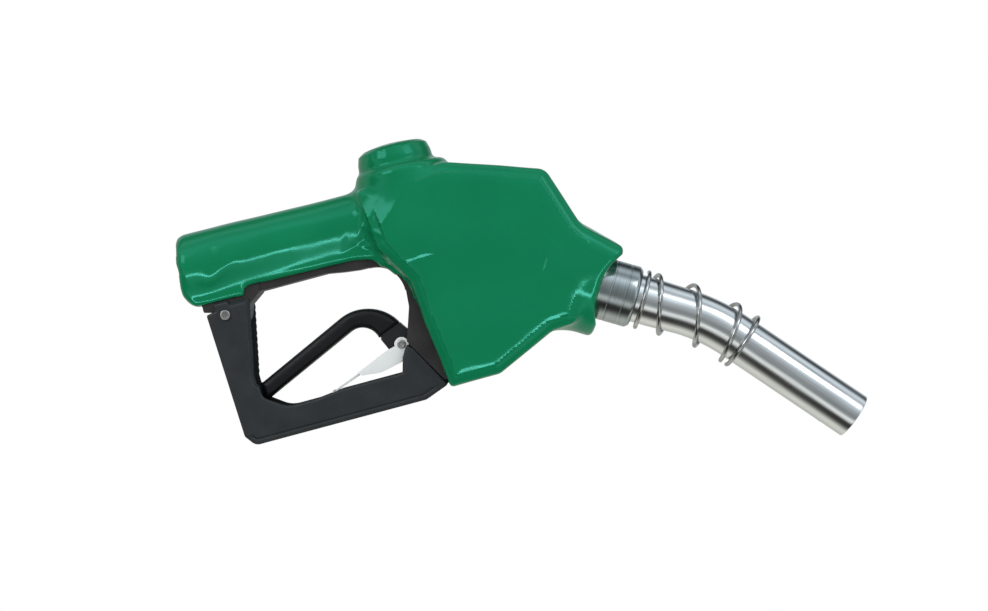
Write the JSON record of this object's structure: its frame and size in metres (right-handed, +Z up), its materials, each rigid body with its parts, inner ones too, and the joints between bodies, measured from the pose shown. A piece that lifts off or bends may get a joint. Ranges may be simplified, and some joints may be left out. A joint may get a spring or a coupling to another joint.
{
  "type": "fuel nozzle",
  "caption": "Automatic shut-off fuel nozzle with vinyl-covered body, guarded lever, hold-open clip and bent metal spout with a hook spring.",
  "frame": {"origin": "centre of the hose inlet's face", "axes": "+X along the handle towards the spout, +Z up through the valve cap, +Y across to the left of a user holding the handle"},
  "size_m": [0.343, 0.0522, 0.217],
  "materials": {
    "casting": "dark coated casting, satin",
    "vinyl": "glossy green vinyl",
    "guard": "satin black-blue coating",
    "lever_metal": "satin black coating",
    "sleeve": "black moulded plastic, semi-matt",
    "steel": "bright zinc-plated steel",
    "spring_steel": "drawn spring wire",
    "spout_metal": "bright turned metal",
    "brass": "machined brass",
    "aluminium": "machined cast alloy",
    "rubber": "black seal rubber",
    "packing": "white packing"
  },
  "bodies": {
    "nozzle_body": {"body_casting": "casting", "hand_insulator": "vinyl", "lever_guard": "guard", "hold_open_rack": "steel", "guard_screw": "steel", "guard_front_pin": "steel", "valve_cap": "aluminium", "cap_o_ring": "rubber", "valve_seat": "brass", "valve_spring": "spring_steel", "stem_packing": "packing", "packing_gland": "brass", "diaphragm_cover": "aluminium", "diaphragm_screws": "steel", "diaphragm": "rubber", "diaphragm_spring": "spring_steel", "latch_ring": "steel", "plunger_spring": "spring_steel", "check_seat": "brass", "check_guide": "aluminium", "check_spring": "spring_steel", "spout_collar": "spout_metal", "spout_o_ring": "rubber", "spout_tube": "spout_metal", "air_tube": "aluminium", "spout_lock_screw": "steel", "hook_spring": "spring_steel"},
    "main_valve": {"valve_poppet": "brass", "valve_seal": "rubber", "valve_stem": "steel"},
    "shutoff_diaphragm": {"diaphragm_plate": "aluminium", "latch_pin": "steel"},
    "latch": {"latch_plunger": "steel", "latch_balls": "steel", "lever_pivot_pin": "steel"},
    "hand_lever": {"lever": "lever_metal", "lever_sleeve": "sleeve", "clip_pin": "steel"},
    "hold_open": {"hold_open_clip": "steel", "clip_spring": "spring_steel"},
    "check_valve": {"check_poppet": "aluminium", "check_seal": "rubber"}
  },
  "joints": [
    {"name": "latch_drop", "type": "slide", "parent": "nozzle_body", "child": "latch", "axis": [-0.3338, 0, -0.9426], "range_m": [0, 0.006], "stiffness_N_per_m": 2000, "springref_m": -0.006, "deforming": ["plunger_spring"]},
    {"name": "lever_lift", "type": "hinge", "parent": "latch", "child": "hand_lever", "pos_m": [0.14646, 0, -0.08009], "axis": [0, 1, 0], "range_deg": [0, 15], "stiffness_Nm_per_rad": 1.6, "springref_deg": -17.9},
    {"name": "valve_lift", "type": "slide", "parent": "nozzle_body", "child": "main_valve", "axis": [0, 0, 1], "range_m": [0, 0.0068], "stiffness_N_per_m": 60, "springref_m": -0.008, "deforming": ["valve_spring"]},
    {"name": "clip_swing", "type": "hinge", "parent": "hand_lever", "child": "hold_open", "pos_m": [0.1045, 0, -0.0697], "axis": [0, 1, 0], "range_deg": [-14, 20], "stiffness_Nm_per_rad": 0.1, "deforming": ["clip_spring"]},
    {"name": "diaphragm_lift", "type": "slide", "parent": "nozzle_body", "child": "shutoff_diaphragm", "axis": [0.3338, 0, 0.9426], "range_m": [0, 0.0025], "stiffness_N_per_m": 800, "springref_m": -0.003, "deforming": ["diaphragm_spring", "diaphragm"]},
    {"name": "check_open", "type": "slide", "parent": "nozzle_body", "child": "check_valve", "axis": [0.8572, 0, -0.515], "range_m": [0, 0.006], "stiffness_N_per_m": 300, "springref_m": -0.004, "deforming": ["check_spring"]}
  ],
  "couplings": [
    {"joint": "valve_lift", "follows": "lever_lift", "m_per_rad": 0.0256}
  ]
}
